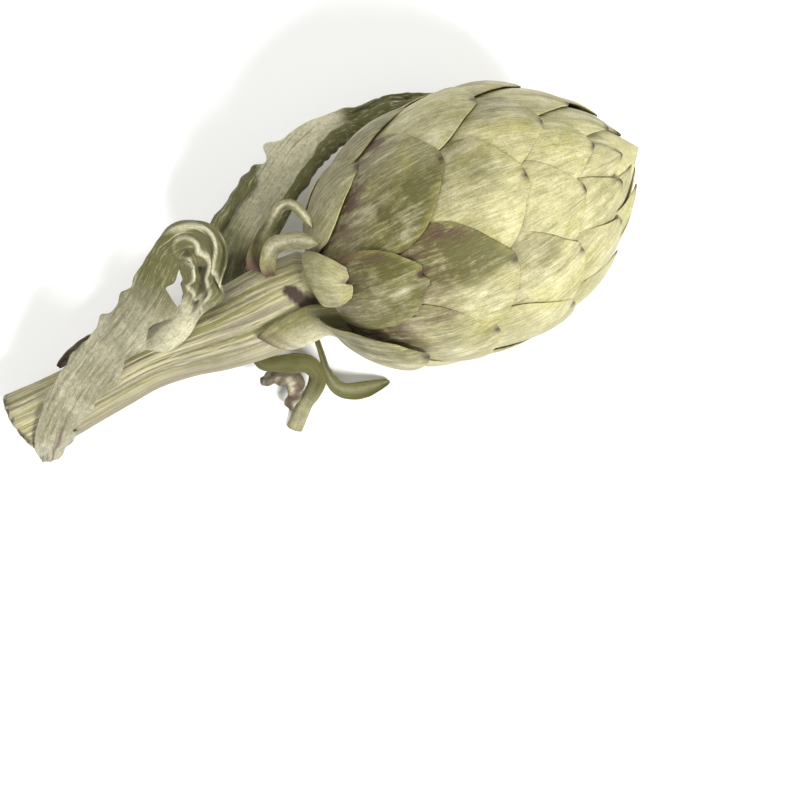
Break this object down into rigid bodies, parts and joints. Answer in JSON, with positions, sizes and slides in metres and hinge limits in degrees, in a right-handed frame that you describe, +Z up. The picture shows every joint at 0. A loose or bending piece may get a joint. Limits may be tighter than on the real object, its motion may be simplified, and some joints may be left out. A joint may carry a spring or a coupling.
{
  "type": "artichoke",
  "caption": "Globe artichoke head of overlapping bracts, lying on its side, with its cut ribbed stem, withered leaves and small curled bracts.",
  "frame": {"origin": "middle of the small flat spot on the resting bract, on the surface that the head lies on", "axes": "+Z up from that surface; +X along it, from the stem to the tip of the head; +Y to the left of that, where the long leaf lies"},
  "size_m": [0.1939, 0.0842, 0.0792],
  "materials": {
    "bract": "fresh plant tissue: pale grey green bract with fine lengthwise streaks, yellow green margins and a purple brown blush near its base",
    "bud": "fresh plant tissue: pale yellow green, the tenderest bracts",
    "stem": "fresh plant tissue: ribbed stem striped light and olive green, with a brown, ragged cut",
    "leaf": "withered felted leaf: matt grey green with fine lengthwise veins",
    "bractlet": "small limp olive green leaf, matt",
    "dried": "dried brown leaf tip"
  },
  "bodies": {
    "root": {"bract_01": "bract", "bract_02": "bract", "bract_03": "bract", "bract_04": "bract", "bract_05": "bract", "bract_06": "bract", "bract_07": "bract", "bract_08": "bract", "bract_09": "bract", "bract_10": "bract", "bract_11": "bract", "bract_12": "bract", "bract_13": "bract", "bract_14": "bract", "bract_15": "bract", "bract_16": "bract", "bract_17": "bract", "bract_18": "bract", "bract_19": "bract", "bract_20": "bract", "bract_21": "bract", "bract_22": "bract", "bract_23": "bract", "bract_24": "bract", "bract_25": "bract", "bract_26": "bract", "bract_27": "bract", "bract_28": "bract", "bract_29": "bract", "bract_30": "bract", "bract_31": "bract", "bract_32": "bract", "bract_33": "bract", "bract_34": "bract", "bract_35": "bract", "bract_36": "bract", "bract_37": "bract", "bract_38": "bract", "bract_39": "bract", "bract_40": "bract", "bract_41": "bract", "bract_42": "bract", "bract_43": "bract", "bract_44": "bract", "heart": "bud", "stem": "stem", "stem_bract": "bud", "leaf_long": "leaf", "leaf_reflexed": "leaf", "leaf_hanging": "bractlet", "bractlet_hook": "bractlet", "bractlet_loop": "bractlet", "bractlet_curl": "bractlet", "dried_leaf_tip": "dried"}
  },
  "joints": []
}
